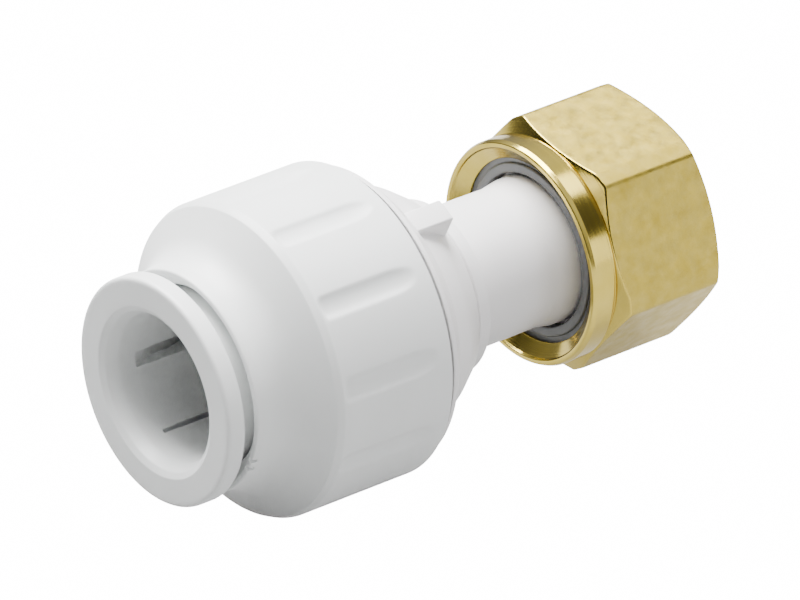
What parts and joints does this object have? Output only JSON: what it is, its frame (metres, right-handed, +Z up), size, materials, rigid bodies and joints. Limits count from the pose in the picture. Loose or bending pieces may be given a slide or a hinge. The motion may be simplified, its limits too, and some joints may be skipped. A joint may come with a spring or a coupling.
{
  "type": "push to connect tap connector",
  "caption": "Straight push-fit connector with a twist cap, a release collet, a spigot and a captive brass swivel nut for a tap tail.",
  "frame": {"origin": "on the axis, half way between the collet's front face and the nut's far end", "axes": "+X along the axis, from the tube's mouth towards the nut; +Z up with the fitting lying on its side"},
  "size_m": [0.0628, 0.033, 0.033],
  "materials": {
    "body_plastic": "moulded white acetal, satin, very slightly warm",
    "cap_plastic": "moulded white acetal, satin, very slightly cool",
    "ring_plastic": "moulded grey acetal, satin",
    "nut_brass": "hot-stamped brass: dull mottled flats, turned and bright collar",
    "tooth_steel": "pressed stainless steel",
    "seal_rubber": "moulded black EPDM, matt"
  },
  "bodies": {
    "housing": {"fitting_body": "body_plastic", "o_ring": "seal_rubber", "sealing_washer": "seal_rubber"},
    "spacer": {"spacer_ring": "body_plastic"},
    "cap": {"screw_cap": "cap_plastic"},
    "release_collet": {"collet": "cap_plastic", "grip_tooth_1": "tooth_steel", "grip_tooth_2": "tooth_steel", "grip_tooth_3": "tooth_steel", "grip_tooth_4": "tooth_steel", "grip_tooth_5": "tooth_steel", "grip_tooth_6": "tooth_steel"},
    "nut_ring": {"retaining_ring": "ring_plastic"},
    "nut": {"swivel_nut": "nut_brass"}
  },
  "joints": [
    {"name": "cap_advance", "type": "slide", "parent": "housing", "child": "spacer", "axis": [1, 0, 0], "range_m": [0, 0.00045]},
    {"name": "cap_turn", "type": "hinge", "parent": "spacer", "child": "cap", "pos_m": [0, 0, 0], "axis": [1, 0, 0], "range_deg": [0, 90]},
    {"name": "collet_release", "type": "slide", "parent": "cap", "child": "release_collet", "axis": [1, 0, 0], "range_m": [0, 0.0015]},
    {"name": "nut_slide", "type": "slide", "parent": "housing", "child": "nut_ring", "axis": [1, 0, 0], "range_m": [-0.0104, 0]},
    {"name": "nut_spin", "type": "hinge", "parent": "nut_ring", "child": "nut", "pos_m": [0.02335, 0, 0], "axis": [1, 0, 0], "continuous": true}
  ],
  "couplings": [
    {"joint": "cap_advance", "follows": "cap_turn", "m_per_rad": 0.00028648}
  ]
}
